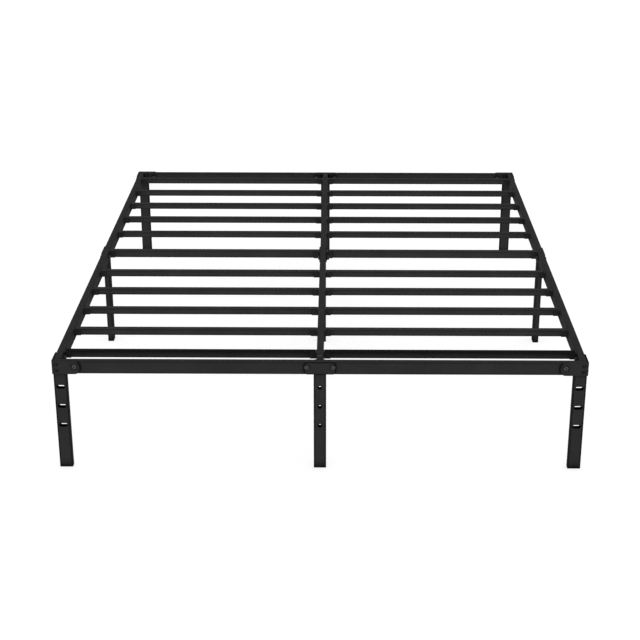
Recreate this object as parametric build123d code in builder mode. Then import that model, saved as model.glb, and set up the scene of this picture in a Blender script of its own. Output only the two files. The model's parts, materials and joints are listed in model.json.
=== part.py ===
"""Queen-size metal platform bed frame: rectangular steel tubes on nine legs, bolted together.

The origin is on the floor under the middle of the frame. +X is to the right as seen from the foot end,
+Y points to the head end and +Z is up. All lengths are in millimetres.
"""
from build123d import *
import os

# Overall size
frame_width = 1524.0  # over the side rails' outer faces
frame_length = 2032.0  # over the foot and head rails' outer faces
rail_top = 335.0  # the rails' top face, above the floor
slat_top = 334.0  # the slats lie just below the rails' and the beam's top faces

# Tube sections
tube_wall = 1.2
tube_corner = 1.5
rail_thick = 20.0  # rails, beam and legs are all this deep
rail_height = 38.0
corner_leg_width = 38.0
centre_leg_width = 36.0
slat_size = 20.0
cross_bar_height = 25.0
slat_wall = 1.0

# Slat rows, counted from the cross bar in the middle towards either end
first_slat = 214.0
slat_pitch = 178.0
slats_per_half = 5

# Headboard slots and leg holes
slot_length = 24.0
slot_height = 11.5
leg_hole = 11.0
hole_rows = (135.0, 195.0, 255.0)

# Brackets and joint plates
plate_thick = 3.0
bracket_height = 40.0
bracket_reach = 79.0  # wing's end, from the frame's outer corner
bracket_end_radius = 18.0
bracket_bend = plate_thick + tube_corner  # outer radius; the inner one fits the leg's corner
corner_bolt_reach = 62.0
weld_spot_reach = 10.0
weld_spot_spacing = 19.0
weld_spot_size = 9.0
weld_spot_height = 1.5
weld_spot_slope = 45.0
plate_length = 90.0
plate_height = 37.0
splice_plate_height = 30.0
plate_corner = 9.0
plate_bolt_reach = 37.5
plate_edge = 0.6

# Slat sockets
socket_length = 20.0
socket_wall = 1.2
socket_base = 3.0  # plate between the slat's end and the rail
socket_bottom = 1.0
socket_drop = 1.5  # side walls' tops, below the slat's top face
peg_size = 8.0
peg_length = 5.0
peg_hole = 8.6

# Centre beam spigots
spigot_flange_thick = 2.5
spigot_flange_width = 25.0
spigot_length = 45.0
spigot_gap = 0.2
screw_reach = 20.0
screw_size = 5.8
screw_hole = 6.2
screw_head_size = 11.0
screw_head_height = 1.8
screw_head_round = 1.1
screw_length = 9.0

# Leg ends
foot_rim = 3.0
plug_depth = 16.0
plug_wall = 2.0
top_cap = 2.0

# Bolts and nuts
bolt_size = 8.0
bolt_hole = 9.0
bolt_head_size = 14.0
bolt_head_height = 4.4
bolt_shoulder_size = 11.2  # the domed head's width at the shoulder's height
bolt_shoulder_height = 3.1
bolt_crown_size = 6.3  # flat on the head's top
bolt_socket = 5.0
bolt_socket_depth = 2.6
nut_size = 13.0
nut_height = 8.0
nut_bore = 8.4
nut_flange_size = 17.0
nut_flange_thick = 1.4
bolt_end = 1.0  # bolt length past its nut
bolt_rise = 3.5  # bolts sit this far above the rails' middle line

# Places worked out from the sizes above
half_width = frame_width / 2
half_length = frame_length / 2
side_x = half_width - rail_thick / 2  # centre plane of a side rail
end_y = half_length - rail_thick / 2  # centre plane of a foot or head rail
side_inner = half_width - rail_thick
end_inner = half_length - rail_thick
rail_z = rail_top - rail_height / 2
bolt_z = rail_z + bolt_rise
corner_leg_x = half_width - corner_leg_width / 2
corner_leg_inner = half_width - corner_leg_width
leg_half = centre_leg_width / 2
beam_half = rail_thick / 2
splice_face = beam_half + plate_thick
beam_end = end_inner - spigot_flange_thick
slat_rows = [end * (first_slat + row * slat_pitch) for end in (-1, 1) for row in range(slats_per_half)]
slat_z = slat_top - slat_size / 2
bolt_length = plate_thick + rail_thick + nut_height + bolt_end
splice_bolt_length = 2 * plate_thick + rail_thick + nut_height + bolt_end

sides = {"left": -1, "right": 1}
ends = {"foot": -1, "head": 1}


def add_tube(start, end, across, width, height, wall):
    """Add a straight hollow tube between two points; its width lies along the across direction."""
    run = Vector(*end) - Vector(*start)
    with BuildSketch(Plane(start, x_dir=across, z_dir=run.normalized())) as section:
        RectangleRounded(width, height, tube_corner)
        RectangleRounded(width - 2 * wall, height - 2 * wall, tube_corner - wall, mode=Mode.SUBTRACT)
    extrude(section.sketch, amount=run.length)


def drill(points, along, size, depth):
    """Cut round holes of one size, each from its point into the part."""
    for point in points:
        with BuildSketch(Plane(point, z_dir=along)) as hole:
            Circle(size / 2)
        extrude(hole.sketch, amount=depth, mode=Mode.SUBTRACT)


def save(piece, name):
    """Label a finished piece and write it to its own file."""
    piece.label = name
    export_step(piece, f"parts/{name}.step")


def legs():
    """Corner legs with headboard slots, and centre and side legs with round holes."""
    for end_name, end in ends.items():
        for side_name, side in sides.items():
            x, y = side * corner_leg_x, end * end_y
            with BuildPart() as leg:
                add_tube((x, y, foot_rim), (x, y, rail_top - top_cap), (1, 0, 0),
                         corner_leg_width, rail_thick, tube_wall)
                for z in hole_rows:
                    with BuildSketch(Plane((x, y, z), x_dir=(1, 0, 0), z_dir=(0, 1, 0))) as slot:
                        SlotOverall(slot_length, slot_height)
                    extrude(slot.sketch, amount=rail_thick, both=True, mode=Mode.SUBTRACT)
            save(leg.part, f"corner_leg_{end_name}_{side_name}")

    facing_ends = {"centre_leg_foot": -end_y, "centre_leg_head": end_y}
    for name, y in facing_ends.items():
        with BuildPart() as leg:
            add_tube((0, y, foot_rim), (0, y, rail_top - top_cap), (1, 0, 0),
                     centre_leg_width, rail_thick, tube_wall)
            drill([(0, y - rail_thick, z) for z in hole_rows], (0, 1, 0), leg_hole, 2 * rail_thick)
        save(leg.part, name)

    facing_sides = {"side_leg_left": -side_x, "side_leg_right": side_x, "centre_leg_middle": 0}
    peg_depth = 2 * tube_wall
    for name, x in facing_sides.items():
        with BuildPart() as leg:
            add_tube((x, 0, foot_rim), (x, 0, rail_top - top_cap), (0, 1, 0),
                     centre_leg_width, rail_thick, tube_wall)
            drill([(x - rail_thick, 0, z) for z in hole_rows], (1, 0, 0), leg_hole, 2 * rail_thick)
            for face in (-1, 1):
                if x * face <= 0:
                    wall_x = x + face * (beam_half - peg_depth)
                    drill([(wall_x, 0, slat_z)], (face, 0, 0), peg_hole, 2 * peg_depth)
        save(leg.part, name)


def leg_ends():
    """Welded caps on the leg tubes' tops, and plastic plugs in their feet."""
    corner_spots = [(side * corner_leg_x, end * end_y) for side in (-1, 1) for end in (-1, 1)]
    wide_legs = [(spot, corner_leg_width, rail_thick) for spot in corner_spots]
    end_legs = [((0, end * end_y), centre_leg_width, rail_thick) for end in (-1, 1)]
    side_legs = [((x, 0), rail_thick, centre_leg_width) for x in (-side_x, 0, side_x)]
    all_legs = wide_legs + end_legs + side_legs

    with BuildPart() as caps:
        for (x, y), width, depth in all_legs:
            with BuildSketch(Plane((x, y, rail_top - top_cap))) as outline:
                RectangleRounded(width, depth, tube_corner)
            extrude(outline.sketch, amount=top_cap)
    save(caps.part, "leg_top_caps")

    inset = 2 * (tube_wall + spigot_gap)
    with BuildPart() as plugs:
        for (x, y), width, depth in all_legs:
            with BuildSketch(Plane((x, y, 0))) as rim:
                RectangleRounded(width, depth, tube_corner)
            extrude(rim.sketch, amount=foot_rim)
            with BuildSketch(Plane((x, y, foot_rim))) as body:
                Rectangle(width - inset, depth - inset)
                Rectangle(width - inset - 2 * plug_wall, depth - inset - 2 * plug_wall, mode=Mode.SUBTRACT)
            extrude(body.sketch, amount=plug_depth)
        chamfer(plugs.edges().group_by(Axis.Z)[0], plate_edge)
    save(plugs.part, "leg_foot_plugs")


def corner_brackets():
    """L-shaped strips around the corner legs, with round-ended wings that overlap the rails."""
    outer_x, outer_y = -half_width - plate_thick, -half_length - plate_thick
    front_end, side_end = -half_width + bracket_reach, -half_length + bracket_reach
    with BuildPart() as bracket:
        with BuildSketch(Plane.XY.offset(rail_z - bracket_height / 2)) as profile:
            with BuildLine():
                Polyline((outer_x, side_end), (outer_x, outer_y), (front_end, outer_y),
                         (front_end, -half_length), (-half_width, -half_length), (-half_width, side_end),
                         close=True)
            make_face()
            outer_corner = profile.vertices().sort_by_distance((outer_x, outer_y, rail_z))[0]
            fillet(outer_corner, bracket_bend)
            inner_corner = profile.vertices().sort_by_distance((-half_width, -half_length, rail_z))[0]
            fillet(inner_corner, bracket_bend - plate_thick)
        extrude(amount=bracket_height)
        fillet(bracket.edges().filter_by(Axis.Y).group_by(Axis.X)[-1], bracket_end_radius)
        fillet(bracket.edges().filter_by(Axis.X).group_by(Axis.Y)[-1], bracket_end_radius)
        spot_rows = (-weld_spot_spacing / 2, weld_spot_spacing / 2)
        for row in spot_rows:
            front_spot = (-half_width + weld_spot_reach, outer_y, rail_z + row)
            side_spot = (outer_x, -half_length + weld_spot_reach, rail_z + row)
            for spot, outward in ((front_spot, (0, -1, 0)), (side_spot, (-1, 0, 0))):
                with BuildSketch(Plane(spot, z_dir=outward)) as weld:
                    Circle(weld_spot_size / 2)
                extrude(weld.sketch, amount=weld_spot_height, taper=weld_spot_slope)
        drill([(-half_width + corner_bolt_reach, outer_y, bolt_z)], (0, 1, 0), bolt_hole, plate_thick)
        drill([(outer_x, -half_length + corner_bolt_reach, bolt_z)], (1, 0, 0), bolt_hole, plate_thick)

    for end_name, end in ends.items():
        for side_name, side in sides.items():
            with BuildPart() as corner:
                add(bracket.part)
                if side > 0:
                    mirror(about=Plane.YZ, mode=Mode.REPLACE)
                if end > 0:
                    mirror(about=Plane.XZ, mode=Mode.REPLACE)
            save(corner.part, f"corner_bracket_{end_name}_{side_name}")


def joint_plates():
    """Flat plates over the joints in the middle of the rails and on both sides of the beam's splice."""
    places = {
        "joint_plate_foot": ((0, -half_length), (0, -1, 0)),
        "joint_plate_head": ((0, half_length), (0, 1, 0)),
        "joint_plate_left": ((-half_width, 0), (-1, 0, 0)),
        "joint_plate_right": ((half_width, 0), (1, 0, 0)),
        "splice_plate_left": ((-beam_half, 0), (-1, 0, 0)),
        "splice_plate_right": ((beam_half, 0), (1, 0, 0)),
    }
    for name, ((x, y), outward) in places.items():
        is_splice = name.startswith("splice")
        height, z = (splice_plate_height, bolt_z) if is_splice else (plate_height, rail_z)
        along = (0, 1, 0) if outward[0] else (1, 0, 0)
        reaches = (-plate_bolt_reach, plate_bolt_reach)
        bolts = [Vector(x, y, bolt_z) + Vector(*along) * reach for reach in reaches]
        with BuildPart() as plate:
            with BuildSketch(Plane((x, y, z), x_dir=along, z_dir=outward)) as outline:
                RectangleRounded(plate_length, height, plate_corner)
            extrude(outline.sketch, amount=plate_thick)
            fillet(plate.faces().sort_by(Axis((x, y, z), outward))[-1].outer_wire().edges(), plate_edge)
            drill(bolts, outward, bolt_hole, plate_thick)
            if is_splice:
                drill([(x, y, slat_z)], outward, peg_hole, plate_thick)
        save(plate.part, name)


def end_rails():
    """Foot and head rails, each in a left and a right half."""
    for end_name, end in ends.items():
        for side_name, side in sides.items():
            y = end * end_y
            bolts = (side * (half_width - corner_bolt_reach), side * plate_bolt_reach)
            with BuildPart() as rail:
                add_tube((side * leg_half, y, rail_z), (side * corner_leg_inner, y, rail_z), (0, 1, 0),
                         rail_thick, rail_height, tube_wall)
                drill([(x, y - rail_thick, bolt_z) for x in bolts], (0, 1, 0), bolt_hole, 2 * rail_thick)
            save(rail.part, f"{end_name}_rail_{side_name}")


def side_rails():
    """Side rails in a foot and a head half, with peg holes for the slat sockets in the inner wall."""
    for end_name, end in ends.items():
        for side_name, side in sides.items():
            x = side * side_x
            bolts = (end * (half_length - corner_bolt_reach), end * plate_bolt_reach)
            rows = [y for y in slat_rows if y * end > 0]
            with BuildPart() as rail:
                add_tube((x, end * leg_half, rail_z), (x, end * end_inner, rail_z), (1, 0, 0),
                         rail_thick, rail_height, tube_wall)
                drill([(x - rail_thick, y, bolt_z) for y in bolts], (1, 0, 0), bolt_hole, 2 * rail_thick)
                drill([(x, y, slat_z) for y in rows], (-side, 0, 0), peg_hole, rail_thick)
            save(rail.part, f"side_rail_{end_name}_{side_name}")


def centre_beam():
    """The beam's two halves, and the spigots on the foot and head legs that its ends slide over."""
    for end_name, end in ends.items():
        rows = [y for y in slat_rows if y * end > 0]
        screw_y = end * (beam_end - screw_reach)
        with BuildPart() as beam:
            add_tube((0, end * leg_half, rail_z), (0, end * beam_end, rail_z), (1, 0, 0),
                     rail_thick, rail_height, tube_wall)
            drill([(-rail_thick, y, slat_z) for y in rows], (1, 0, 0), peg_hole, 2 * rail_thick)
            drill([(-rail_thick, end * plate_bolt_reach, bolt_z)], (1, 0, 0), bolt_hole, 2 * rail_thick)
            drill([(0, screw_y, rail_z)], (0, 0, 1), screw_hole, rail_height)
        save(beam.part, f"beam_{end_name}")

    spigot_inset = 2 * (tube_wall + spigot_gap)
    with BuildPart() as spigots:
        for end in (-1, 1):
            beam_face = Plane((0, end * beam_end, rail_z), x_dir=(1, 0, 0), z_dir=(0, end, 0))
            with BuildSketch(beam_face) as flange:
                Rectangle(spigot_flange_width, rail_height)
            extrude(flange.sketch, amount=spigot_flange_thick)
            add_tube((0, end * (beam_end - spigot_length), rail_z), (0, end * beam_end, rail_z), (1, 0, 0),
                     rail_thick - spigot_inset, rail_height - spigot_inset, tube_wall)
            drill([(0, end * (beam_end - screw_reach), rail_z)], (0, 0, 1), screw_hole, rail_height)
    save(spigots.part, "beam_spigots")

    with BuildPart() as screws:
        for end in (-1, 1):
            spot = (0, end * (beam_end - screw_reach), rail_top)
            with BuildSketch(Plane(spot)) as head:
                Circle(screw_head_size / 2)
            extrude(head.sketch, amount=screw_head_height)
            with BuildSketch(Plane(spot)) as shank:
                Circle(screw_size / 2)
            extrude(shank.sketch, amount=-screw_length)
        tops = screws.edges().filter_by(GeomType.CIRCLE).group_by(Axis.Z)[-1]
        fillet(tops, screw_head_round)
        for end in (-1, 1):
            spot = (0, end * (beam_end - screw_reach), rail_top + screw_head_height)
            with BuildSketch(Plane(spot)) as key:
                RegularPolygon(bolt_socket / 2, 6, major_radius=False)
            extrude(key.sketch, amount=-screw_head_height, mode=Mode.SUBTRACT)
    save(screws.part, "beam_end_screws")


def cross_members():
    """Slats in numbered rows from the foot to the head, and the taller cross bars in the middle."""
    slat_start, bar_start = beam_half + socket_base, splice_face + socket_base
    stop = side_inner - socket_base
    bar_z = rail_top - cross_bar_height / 2
    for side_name, side in sides.items():
        for number, y in enumerate(sorted(slat_rows), start=1):
            with BuildPart() as slat:
                add_tube((side * slat_start, y, slat_z), (side * stop, y, slat_z), (0, 1, 0),
                         slat_size, slat_size, slat_wall)
            save(slat.part, f"slat_{side_name}_{number:02d}")
        with BuildPart() as bar:
            add_tube((side * bar_start, 0, bar_z), (side * stop, 0, bar_z), (0, 1, 0),
                     slat_size, cross_bar_height, tube_wall)
        save(bar.part, f"cross_bar_{side_name}")


def slat_sockets():
    """Open-topped plastic sockets for the ends of the slats and cross bars, each on a locating peg."""
    with BuildPart() as sockets:
        for y in slat_rows + [0]:
            depth, top = (slat_size, slat_top) if y else (cross_bar_height, rail_top)
            beam_face = beam_half if y else splice_face
            for side in (-1, 1):
                for face_x, inward in ((side * side_inner, -side), (side * beam_face, side)):
                    add_socket((face_x, y, top), inward, depth)
    save(sockets.part, "slat_sockets")


def add_socket(spot, inward, depth):
    """Add one socket to the part being built, standing on a wall and opening inward and up."""
    x, y, top = spot
    outer_width = slat_size + 2 * socket_wall
    outer_height = depth + socket_bottom - socket_drop
    centre = (x, y, top - socket_drop - outer_height / 2)
    wall = Plane(centre, x_dir=(0, inward, 0), z_dir=(inward, 0, 0))
    with BuildSketch(wall) as block:
        Rectangle(outer_width, outer_height)
    extrude(block.sketch, amount=socket_length)
    with BuildSketch(wall.offset(socket_base)) as cavity:
        with Locations((0, (socket_bottom + socket_drop) / 2)):
            Rectangle(slat_size, depth)
    extrude(cavity.sketch, amount=socket_length, mode=Mode.SUBTRACT)
    with BuildSketch(Plane((x, y, slat_z), z_dir=(-inward, 0, 0))) as peg:
        Circle(peg_size / 2)
    extrude(peg.sketch, amount=peg_length)


def button_bolt(length):
    """A button-head bolt with a hexagon socket, head up, its head's underside at the origin."""
    shank_radius, head_radius = bolt_size / 2, bolt_head_size / 2
    shoulder_radius, crown_radius = bolt_shoulder_size / 2, bolt_crown_size / 2
    with BuildPart() as bolt:
        with BuildSketch(Plane.XZ):
            with BuildLine():
                Polyline((0, bolt_head_height), (0, -length), (shank_radius, -length), (shank_radius, 0),
                         (head_radius, 0))
                ThreePointArc((head_radius, 0), (shoulder_radius, bolt_shoulder_height),
                              (crown_radius, bolt_head_height))
                Line((crown_radius, bolt_head_height), (0, bolt_head_height))
            make_face()
        revolve(axis=Axis.Z)
        with BuildSketch(Plane.XY.offset(bolt_head_height)):
            RegularPolygon(bolt_socket / 2, 6, major_radius=False)
        extrude(amount=-bolt_socket_depth, mode=Mode.SUBTRACT)
        chamfer(bolt.edges().group_by(Axis.Z)[0], plate_edge)
    return bolt.part


def flange_nut():
    """A hexagon nut with a flange, standing on its flange at the origin."""
    with BuildPart() as nut:
        with BuildSketch():
            RegularPolygon(nut_size / 2, 6, major_radius=False)
        extrude(amount=nut_height)
        with BuildSketch():
            Circle(nut_flange_size / 2)
        extrude(amount=nut_flange_thick)
        with BuildSketch():
            Circle(nut_bore / 2)
        extrude(amount=nut_height, mode=Mode.SUBTRACT)
    return nut.part


def fasteners():
    """Bolts through the wings and plates into the rails, with a nut on each inner face."""
    heads, nuts = [], []
    for end in (-1, 1):
        for side in (-1, 1):
            corner_x = side * (half_width - corner_bolt_reach)
            corner_y = end * (half_length - corner_bolt_reach)
            heads.append(((corner_x, end * (half_length + plate_thick), bolt_z), (0, end, 0)))
            heads.append(((side * (half_width + plate_thick), corner_y, bolt_z), (side, 0, 0)))
            heads.append(((side * plate_bolt_reach, end * (half_length + plate_thick), bolt_z), (0, end, 0)))
            heads.append(((side * (half_width + plate_thick), end * plate_bolt_reach, bolt_z), (side, 0, 0)))
    grip = plate_thick + rail_thick
    for spot, outward in heads:
        nuts.append((Vector(*spot) - Vector(*outward) * grip, Vector(*outward) * -1))

    splice_heads = [((-splice_face, end * plate_bolt_reach, bolt_z), (-1, 0, 0)) for end in (-1, 1)]
    for end in (-1, 1):
        nuts.append(((splice_face, end * plate_bolt_reach, bolt_z), (1, 0, 0)))

    groups = {
        "rail_bolts": (button_bolt(bolt_length), heads),
        "splice_bolts": (button_bolt(splice_bolt_length), splice_heads),
        "flange_nuts": (flange_nut(), nuts),
    }
    for name, (piece, places) in groups.items():
        with BuildPart() as group:
            with Locations(*[Plane(spot, z_dir=outward) for spot, outward in places]):
                add(piece)
        save(group.part, name)


os.makedirs("parts", exist_ok=True)
legs()
leg_ends()
corner_brackets()
joint_plates()
end_rails()
side_rails()
centre_beam()
cross_members()
slat_sockets()
fasteners()
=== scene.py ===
"""The look of the metal platform bed frame: its paint, plastic and fasteners, camera, floor and light."""
import json
import math

import bpy
from mathutils import Matrix

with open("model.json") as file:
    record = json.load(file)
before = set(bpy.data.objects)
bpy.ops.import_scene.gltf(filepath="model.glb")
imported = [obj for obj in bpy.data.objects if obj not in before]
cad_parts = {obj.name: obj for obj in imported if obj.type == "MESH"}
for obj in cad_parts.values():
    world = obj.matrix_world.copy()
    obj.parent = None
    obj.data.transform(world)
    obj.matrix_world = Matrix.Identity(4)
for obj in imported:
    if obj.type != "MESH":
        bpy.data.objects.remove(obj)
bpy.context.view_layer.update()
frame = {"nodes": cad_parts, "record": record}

nodes = frame["nodes"]

# Camera: place in metres, angles in degrees, lens and sensor in millimetres
camera_place = (0.0452, -4.9424, 1.9591)
camera_pitch = 23.105  # downwards from level
camera_yaw = 0.387
camera_roll = 0.058
camera_lens = 84.05
camera_sensor = 36.0
camera_shift = (-0.0100, 0.0916)
camera_clip = (0.05, 200.0)

# Floor and light
floor_reach = 40.0  # metres to each side of the origin
floor_tone = (0.36, 0.38)
floor_gloss = (0.85, 0.95)
floor_glow = 0.72
sky_strength = 1.10
sky_shades = ((0.0, 1.0), (0.35, 0.95), (0.70, 0.76), (1.0, 0.66))  # from the horizon to overhead
sun_width = 70.0
sun_tilt = (-12.0, 8.0)  # degrees about X and Y
sun_energy = 0.25

# Directions that edges face
front_upper_edge = (0.0, -0.7071, 0.7071)
front_lower_edge = (0.0, -0.7071, -0.7071)
rear_upper_edge = (0.0, 0.7071, 0.7071)
side_upper_edges = [(-0.7071, 0.0, 0.7071), (0.7071, 0.0, 0.7071)]

# Where the slats' sides begin above the floor, and how tall they are
slat_bottom = 0.314
slat_size = 0.020

# How far from an edge, or from another piece, each kind of worn edge, painted glint and painted shade
# reaches, in metres
edge_shade_reach = 0.0070  # painted shade along a tube's edges
chip_reach = 0.0010  # worn paint on an edge
scuff_reach = 0.0008  # worn plastic on an edge
rub_and_glint_reach = 0.0020  # bare metal and a painted glint on a fastener's edge
corner_shade_reach = 0.035  # painted shade in the corners where tubes meet
crevice_shade_reach = 0.010  # painted shade deep in the gaps between painted pieces
recess_shade_reach = 0.005  # painted shade in the gaps around a fastener

# Noise scales, in cycles per metre
mottle_scale = 9.0
speck_scale = 1400.0
chip_scale = 240.0
smudge_scale = 26.0
peel_scale = 620.0
grain_scale = 2600.0
plastic_cloud_scale = 60.0
scratch_scale = 300.0
spark_scale = 1900.0
steel_cloud_scale = 210.0
rub_and_glint_scale = 380.0
turning_scale = 2400.0
floor_cloud_scale = 0.6
floor_fine_scale = 90.0

# Colour ramps: each stop is a place on the input and the value there
cloud_stops = ((0.35, 0.0), (0.68, 1.0))
plastic_cloud_stops = ((0.35, 0.0), (0.70, 1.0))
speck_stops = ((0.60, 0.0), (0.78, 0.35))
edge_shade_stops = ((0.015, 0.0), (0.07, 1.0))
chipped_edge_stops = ((0.10, 0.0), (0.55, 1.0))
chip_stops = ((0.58, 0.0), (0.68, 1.0))
corner_shade_stops = ((0.50, 0.0), (0.90, 1.0))
crevice_shade_stops = ((0.45, 0.0), (0.92, 1.0))
recess_shade_stops = ((0.60, 0.0), (0.92, 1.0))
paint_gloss_stops = ((0.30, 0.76), (0.50, 0.84), (0.72, 0.92))
scuffed_edge_stops = ((0.08, 0.0), (0.5, 1.0))
scratch_stops = ((0.50, 0.0), (0.70, 1.0))
plastic_gloss_stops = ((0.30, 0.50), (0.75, 0.68))
rubbed_and_glint_edge_stops = ((0.02, 0.0), (0.20, 1.0))
rub_and_glint_stops = ((0.40, 0.2), (0.60, 1.0))
foot_slat_shade_stops = ((0.850, 0.0), (0.900, 1.0))  # metres from the middle towards the foot
slat_height_shade_stops = ((0.20, 0.0), (0.50, 0.38), (0.90, 0.58), (0.98, 0.90))  # share of a slat's height

# How strongly each mark shows
edge_shade_share = 0.95
chip_share = 0.5
scuff_share = 0.25
bolt_bare_and_glint_share = 0.9
screw_bare_and_glint_share = 0.15

# Painted edge shade stays off where the edge agrees with a plain direction by this much, as a dot product
tube_plain_from = 0.72
bracket_plain_from = 0.84
never_plain = 1.0
plain_fade = 0.07  # over this much more agreement the painted edge shade fades away

# Gloss and reflection
bolt_rough = 0.30
screw_rough = 0.40
rough_spread = (-0.06, 0.10)
paint_specular = 0.01
plastic_specular = 0.25
steel_specular = 0.2
floor_specular = 0.05
middle_band = (0.3, 0.7)  # a noise's values mostly lie in here

# Bumps: strength, and height in metres
peel_bump = (0.35, 0.00035)
grain_bump = (0.15, 0.00012)
spark_bump = (0.5, 0.0002)
turning_bump = (0.2, 0.00008)
floor_bump = (0.02, 0.0005)

# Finishes of the CAD nodes, by material slot
paint_black = (0.0240, 0.0240, 0.0245)
paint_black_light = (0.0300, 0.0298, 0.0303)
# painted shade: the darkest along edges and in deep gaps, the next in corners where tubes meet
paint_edge_and_gap_shade = (0.0020, 0.0020, 0.0021)
paint_corner_shade = (0.0040, 0.0040, 0.0042)
paint_worn = (0.060, 0.059, 0.058)
# the slats' black: the tubes' black lightened by about a fifth, as painted light
paint_slat_lit = (0.0285, 0.0285, 0.0290)
paint_slat_lit_mottle = (0.0355, 0.0353, 0.0358)
# painted shade on the slats next to the foot rail
paint_shaded = (0.0050, 0.0050, 0.0051)
plastic_black = (0.0045, 0.0045, 0.0048)
plastic_black_light = (0.0090, 0.0088, 0.0090)
plastic_scuffed = (0.05, 0.05, 0.05)
bolt_black = (0.038, 0.038, 0.039)
bolt_black_light = (0.060, 0.060, 0.059)
screw_black = (0.010, 0.010, 0.0105)
screw_black_light = (0.022, 0.022, 0.022)
# painted shade in the gaps around a fastener
bolt_recess_shade = (0.0015, 0.0015, 0.0016)
# pale fastener edges: rubbed bare metal and a painted glint
bolt_rubbed_and_glint = (0.22, 0.215, 0.21)


class Nodes:
    """A small helper that adds and links nodes in one material or world."""

    def __init__(self, owner):
        owner.use_nodes = True
        self.tree = owner.node_tree
        self.tree.nodes.clear()

    def add(self, kind, **settings):
        node = self.tree.nodes.new(kind)
        for name, value in settings.items():
            setattr(node, name, value)
        return node

    def link(self, start, end):
        self.tree.links.new(start, end)

    def noise(self, place, scale, detail=3.0, roughness=0.5, distortion=0.0):
        node = self.add("ShaderNodeTexNoise")
        node.inputs["Scale"].default_value = scale
        node.inputs["Detail"].default_value = detail
        node.inputs["Roughness"].default_value = roughness
        node.inputs["Distortion"].default_value = distortion
        self.link(place, node.inputs["Vector"])
        return node.outputs["Fac"]

    def ramp(self, source, *stops):
        """Map a value through a colour ramp; each stop is a position and a grey level or a colour."""
        node = self.add("ShaderNodeValToRGB")
        elements = node.color_ramp.elements
        while len(elements) < len(stops):
            elements.new(0.5)
        for element, (position, level) in zip(elements, stops):
            element.position = position
            colour = level if isinstance(level, tuple) else (level, level, level)
            element.color = (*colour, 1.0)
        self.link(source, node.inputs["Fac"])
        return node.outputs["Color"]

    def blend(self, factor, first, second):
        """Mix two colours; the factor and the colours are sockets or fixed values."""
        node = self.add("ShaderNodeMix", data_type="RGBA", blend_type="MIX")
        for socket, value in ((node.inputs[0], factor), (node.inputs[6], first), (node.inputs[7], second)):
            if isinstance(value, bpy.types.NodeSocket):
                self.link(value, socket)
            elif isinstance(value, tuple):
                socket.default_value = (*value, 1.0)
            else:
                socket.default_value = value
        return node.outputs[2]

    def math(self, operation, first, second, clamp=False):
        node = self.add("ShaderNodeMath", operation=operation, use_clamp=clamp)
        for socket, value in zip(node.inputs, (first, second)):
            if isinstance(value, bpy.types.NodeSocket):
                self.link(value, socket)
            else:
                socket.default_value = value
        return node.outputs[0]

    def bump(self, height, strength, distance, normal=None):
        node = self.add("ShaderNodeBump")
        node.inputs["Strength"].default_value = strength
        node.inputs["Distance"].default_value = distance
        self.link(height, node.inputs["Height"])
        if normal is not None:
            self.link(normal, node.inputs["Normal"])
        return node.outputs["Normal"]

    def rounded_normal(self, radius, samples=4):
        """The normal as if edges were rounded to this radius."""
        bevel = self.add("ShaderNodeBevel", samples=samples)
        bevel.inputs["Radius"].default_value = radius
        return bevel.outputs["Normal"]

    def dot(self, first, second):
        node = self.add("ShaderNodeVectorMath", operation="DOT_PRODUCT")
        self.link(first, node.inputs[0])
        if isinstance(second, tuple):
            node.inputs[1].default_value = second
        else:
            self.link(second, node.inputs[1])
        return node.outputs["Value"]

    def edge_mask(self, radius, samples=4):
        """One along the edges and corners, nought on flat faces."""
        shape = self.add("ShaderNodeNewGeometry")
        facing = self.dot(self.rounded_normal(radius, samples), shape.outputs["Normal"])
        return self.math("SUBTRACT", 1.0, facing, clamp=True)

    def crevices(self, distance):
        """One on open surfaces, nought deep in the corners between two pieces."""
        node = self.add("ShaderNodeAmbientOcclusion", samples=6)
        node.inputs["Distance"].default_value = distance
        return node.outputs["AO"]

    def surface(self, base, roughness, normal, **fixed):
        """Finish a material; fixed values go on the shader's own sockets."""
        shader = self.add("ShaderNodeBsdfPrincipled")
        self.link(base, shader.inputs["Base Color"])
        self.link(roughness, shader.inputs["Roughness"])
        self.link(normal, shader.inputs["Normal"])
        for name, value in fixed.items():
            shader.inputs[name.replace("_", " ")].default_value = value
        output = self.add("ShaderNodeOutputMaterial")
        self.link(shader.outputs["BSDF"], output.inputs["Surface"])


def new_material(name):
    """A material, the helper that builds it, and the place on the piece in metres."""
    material = bpy.data.materials.new(name)
    build = Nodes(material)
    place = build.add("ShaderNodeTexCoord").outputs["Object"]
    return material, build, place


def foot_slat_shade(build, place):
    """Painted shade on the slats next to the foot rail: darkest on the top face, least at the sides'
    bottom.
    """
    axes = build.add("ShaderNodeSeparateXYZ")
    build.link(place, axes.inputs[0])
    to_foot = build.math("MULTIPLY", axes.outputs["Y"], -1.0)
    along = build.ramp(to_foot, *foot_slat_shade_stops)
    height = build.math("MULTIPLY", build.math("SUBTRACT", axes.outputs["Z"], slat_bottom), 1.0 / slat_size)
    up = build.ramp(height, *slat_height_shade_stops)
    return build.math("MULTIPLY", along, up)


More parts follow.
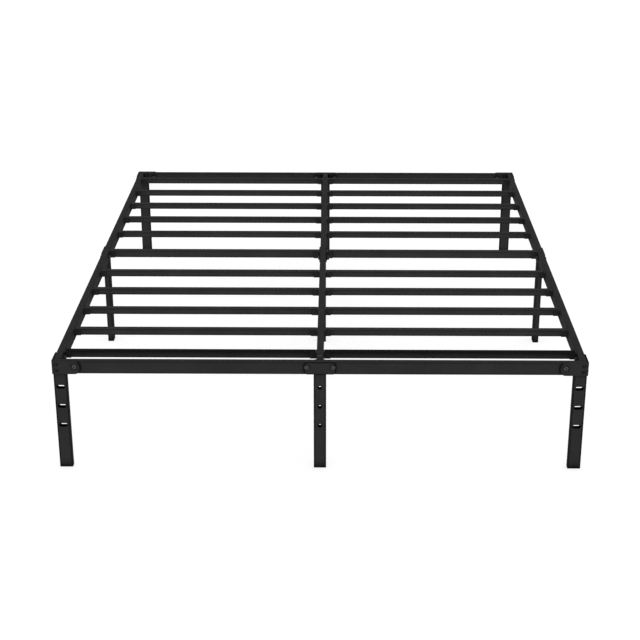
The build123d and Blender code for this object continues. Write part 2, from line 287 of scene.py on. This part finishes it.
def powder_coat(name, dark, light, plain_edges, plain_from, painted_shade_at_foot=False):
    """Matt black powder coat: orange peel, mottling and chips, with painted shade along the edges but for
    some directions, painted shade in corners and deep gaps, and painted shade on the foot slats when asked.

    An edge stays free of painted shade where its rounded normal agrees with one of the plain directions by
    at least plain_from, as a dot product.
    """
    material, build, place = new_material(name)
    mottle = build.noise(place, mottle_scale, detail=5.0, roughness=0.62)
    speck = build.noise(place, speck_scale, detail=2.0)
    tone = build.blend(build.ramp(mottle, *cloud_stops), dark, light)
    tone = build.blend(build.ramp(speck, *speck_stops), tone, light)
    # painted shade on the slats next to the foot rail, darkest on their top faces
    if painted_shade_at_foot:
        tone = build.blend(foot_slat_shade(build, place), tone, paint_shaded)

    # painted shade along the edges, left off on edges that face the plain directions
    rim = build.ramp(build.edge_mask(edge_shade_reach, samples=6), *edge_shade_stops)
    for direction in plain_edges:
        facing = build.dot(build.rounded_normal(edge_shade_reach, samples=6), direction)
        dark_share = build.ramp(facing, (plain_from, 1.0), (plain_from + plain_fade, 0.0))
        rim = build.math("MULTIPLY", rim, dark_share)
    tone = build.blend(build.math("MULTIPLY", rim, edge_shade_share), tone, paint_edge_and_gap_shade)
    edges = build.edge_mask(chip_reach)
    chips = build.noise(place, chip_scale, detail=6.0, roughness=0.7)
    worn = build.math("MULTIPLY", build.ramp(edges, *chipped_edge_stops), build.ramp(chips, *chip_stops))
    tone = build.blend(build.math("MULTIPLY", worn, chip_share), tone, paint_worn)
    # painted shade in corners and deep gaps, from ambient occlusion
    open_corner = build.ramp(build.crevices(corner_shade_reach), *corner_shade_stops)
    tone = build.blend(open_corner, paint_corner_shade, tone)
    open_gap = build.ramp(build.crevices(crevice_shade_reach), *crevice_shade_stops)
    tone = build.blend(open_gap, paint_edge_and_gap_shade, tone)

    smudge = build.noise(place, smudge_scale, detail=6.0, roughness=0.7, distortion=0.6)
    gloss = build.ramp(smudge, *paint_gloss_stops)
    peel = build.noise(place, peel_scale, detail=2.0, roughness=0.35)
    grain = build.noise(place, grain_scale, detail=2.0)
    normal = build.bump(peel, *peel_bump)
    normal = build.bump(grain, *grain_bump, normal)
    build.surface(tone, gloss, normal, Specular_IOR_Level=paint_specular)
    return material


def moulded_plastic(name, dark, light, scuffed):
    """Injection-moulded black plastic with a fine eroded grain; scuffed pieces are paler at the rim."""
    material, build, place = new_material(name)
    cloud = build.noise(place, plastic_cloud_scale, detail=4.0, roughness=0.6)
    tone = build.blend(build.ramp(cloud, *plastic_cloud_stops), dark, light)
    edges = build.edge_mask(scuff_reach)
    scratch = build.noise(place, scratch_scale, detail=6.0, roughness=0.75, distortion=1.5)
    marks = build.math("MULTIPLY", build.ramp(edges, *scuffed_edge_stops),
                       build.ramp(scratch, *scratch_stops))
    tone = build.blend(build.math("MULTIPLY", marks, scuffed), tone, plastic_scuffed)
    gloss = build.ramp(scratch, *plastic_gloss_stops)
    spark = build.noise(place, spark_scale, detail=3.0, roughness=0.6)
    normal = build.bump(spark, *spark_bump)
    build.surface(tone, gloss, normal, Specular_IOR_Level=plastic_specular)
    return material


def blackened_steel(name, dark, light, rough, bare_and_glint_share):
    """Blackened fastener steel: cloudy oil finish, fine turning marks, and pale edges that are partly
    rubbed bare metal and partly a painted glint.
    """
    material, build, place = new_material(name)
    cloud = build.noise(place, steel_cloud_scale, detail=4.0, roughness=0.6)
    tone = build.blend(build.ramp(cloud, *cloud_stops), dark, light)
    # pale edges: rubbed bare metal and a painted glint
    rubs_and_glints = build.noise(place, rub_and_glint_scale, detail=5.0, roughness=0.7)
    edges = build.edge_mask(rub_and_glint_reach)
    bare_and_glint = build.math("MULTIPLY", build.ramp(edges, *rubbed_and_glint_edge_stops), build.ramp(rubs_and_glints, *rub_and_glint_stops))
    tone = build.blend(build.math("MULTIPLY", bare_and_glint, bare_and_glint_share), tone, bolt_rubbed_and_glint)
    # painted shade in the gaps around a fastener
    open_gap = build.ramp(build.crevices(recess_shade_reach), *recess_shade_stops)
    tone = build.blend(open_gap, bolt_recess_shade, tone)
    turned = build.noise(place, turning_scale, detail=2.0, distortion=2.0)
    gloss = build.ramp(turned, *[(stop, rough + spread) for stop, spread in zip(middle_band, rough_spread)])
    normal = build.bump(turned, *turning_bump)
    build.surface(tone, gloss, normal, Specular_IOR_Level=steel_specular)
    return material


def floor_material():
    """A plain pale floor with the faintest unevenness, giving off a little light of its own."""
    material, build, place = new_material("pale_floor")
    cloud = build.noise(place, floor_cloud_scale, detail=3.0)
    tone = build.ramp(cloud, *zip(middle_band, floor_tone))
    gloss = build.ramp(cloud, *zip(middle_band, floor_gloss))
    fine = build.noise(place, floor_fine_scale)
    glow = {"Emission_Color": (1.0, 1.0, 1.0, 1.0), "Emission_Strength": floor_glow}
    normal = build.bump(fine, *floor_bump)
    build.surface(tone, gloss, normal, Specular_IOR_Level=floor_specular, **glow)
    return material


def paint_nodes():
    """Give every CAD node the finish of its record slot."""
    black = (paint_black, paint_black_light)
    # the slats get the lightened black, a painted-light copy of the tubes' paint
    slat_black = (paint_slat_lit, paint_slat_lit_mottle)
    tube_plain = [front_upper_edge, *side_upper_edges]
    slat_plain = [front_upper_edge, rear_upper_edge]
    bracket_plain = [front_upper_edge, front_lower_edge]
    finishes = {
        "powder_coat": powder_coat("powder_coat", *black, tube_plain, tube_plain_from),
        "slat_coat": powder_coat("slat_coat", *slat_black, slat_plain, tube_plain_from, painted_shade_at_foot=True),
        "bracket_coat": powder_coat("bracket_coat", *black, bracket_plain, bracket_plain_from),
        "plate_coat": powder_coat("plate_coat", *black, [], never_plain),
        "black_plastic": moulded_plastic("black_plastic", plastic_black, plastic_black_light, scuff_share),
        "bolt_steel": blackened_steel("bolt_steel", bolt_black, bolt_black_light, bolt_rough,
                                      bolt_bare_and_glint_share),
        "screw_steel": blackened_steel("screw_steel", screw_black, screw_black_light, screw_rough,
                                       screw_bare_and_glint_share),
    }
    slots = {part["node"]: part["material_slot"] for part in frame["record"]["subparts"]}
    for name, node in nodes.items():
        node.data.materials.clear()
        node.data.materials.append(finishes[slots[name]])


def place_camera():
    """The camera stands beyond the foot end and looks down along the frame."""
    data = bpy.data.cameras.new("camera")
    data.sensor_width = camera_sensor
    data.lens = camera_lens
    data.shift_x, data.shift_y = camera_shift
    data.clip_start, data.clip_end = camera_clip
    camera = bpy.data.objects.new("camera", data)
    turn = Matrix.Rotation(math.radians(camera_yaw), 4, "Z")
    tilt = Matrix.Rotation(math.radians(90.0 - camera_pitch), 4, "X")
    roll = Matrix.Rotation(math.radians(camera_roll), 4, "Z")
    camera.matrix_world = Matrix.Translation(camera_place) @ turn @ tilt @ roll
    bpy.context.scene.collection.objects.link(camera)
    bpy.context.scene.camera = camera


def place_floor():
    """A square floor wide enough to fill the view."""
    reach = floor_reach
    corners = [(-reach, -reach, 0.0), (reach, -reach, 0.0), (reach, reach, 0.0), (-reach, reach, 0.0)]
    mesh = bpy.data.meshes.new("floor")
    mesh.from_pydata(corners, [], [(0, 1, 2, 3)])
    mesh.materials.append(floor_material())
    floor = bpy.data.objects.new("floor", mesh)
    bpy.context.scene.collection.objects.link(floor)


def light_studio():
    """An even white surround, a little dimmer overhead, and one wide, mild sun."""
    world = bpy.data.worlds.new("studio")
    bpy.context.scene.world = world
    build = Nodes(world)
    direction = build.add("ShaderNodeTexCoord").outputs["Generated"]
    split = build.add("ShaderNodeSeparateXYZ")
    build.link(direction, split.inputs[0])
    shade = build.ramp(split.outputs["Z"], *sky_shades)
    sky = build.add("ShaderNodeBackground")
    sky.inputs["Strength"].default_value = sky_strength
    build.link(shade, sky.inputs["Color"])
    output = build.add("ShaderNodeOutputWorld")
    build.link(sky.outputs["Background"], output.inputs["Surface"])

    sun_data = bpy.data.lights.new("overhead", "SUN")
    sun_data.angle = math.radians(sun_width)
    sun_data.energy = sun_energy
    sun = bpy.data.objects.new("overhead", sun_data)
    sun.rotation_euler = (math.radians(sun_tilt[0]), math.radians(sun_tilt[1]), 0.0)
    bpy.context.scene.collection.objects.link(sun)


scene = bpy.context.scene
scene.view_settings.view_transform = "Standard"
scene.view_settings.look = "None"
paint_nodes()
place_camera()
place_floor()
light_studio()
